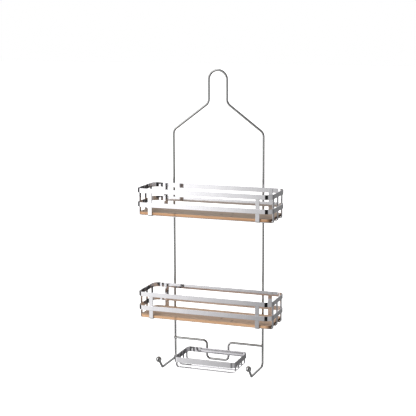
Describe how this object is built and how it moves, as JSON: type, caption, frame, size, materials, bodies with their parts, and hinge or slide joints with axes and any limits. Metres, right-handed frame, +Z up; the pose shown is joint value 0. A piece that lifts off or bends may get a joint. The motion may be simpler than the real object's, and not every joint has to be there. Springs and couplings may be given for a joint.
{
  "type": "shower caddy",
  "caption": "Hanging chromed wire shower caddy with stacked flat-strip baskets, lift-out wooden boards, a soap dish and ball-tipped hooks.",
  "frame": {"origin": "centre of the hanging loop's arc at the top of the wire frame, in the plane of the frame", "axes": "+X to the user's right along the baskets, -Y towards the user, +Z up along the frame's rods"},
  "size_m": [0.302, 0.1062, 0.6455],
  "materials": {
    "chrome": "polished",
    "bamboo": "satin lacquer"
  },
  "bodies": {
    "caddy_frame": {"main_frame": "chrome", "hook_ball_left": "chrome", "hook_ball_right": "chrome", "crossbar": "chrome", "upper_top_rail": "chrome", "upper_low_rail": "chrome", "upper_strap_left": "chrome", "upper_strap_right": "chrome", "upper_strap_front": "chrome", "upper_strap_middle": "chrome", "upper_strap_back": "chrome", "lower_top_rail": "chrome", "lower_low_rail": "chrome", "lower_strap_left": "chrome", "lower_strap_right": "chrome", "lower_strap_front": "chrome", "lower_strap_middle": "chrome", "lower_strap_back": "chrome", "dish_band": "chrome", "dish_strap_front": "chrome", "dish_strap_mid_front": "chrome", "dish_strap_mid_back": "chrome", "dish_strap_back": "chrome"},
    "upper_shelf_board": {"upper_board": "bamboo"},
    "lower_shelf_board": {"lower_board": "bamboo"}
  },
  "joints": [
    {"name": "upper_board_lift", "type": "slide", "parent": "caddy_frame", "child": "upper_shelf_board", "axis": [0, 0, 1], "range_m": [0, 0.07]},
    {"name": "lower_board_lift", "type": "slide", "parent": "caddy_frame", "child": "lower_shelf_board", "axis": [0, 0, 1], "range_m": [0, 0.07]}
  ]
}
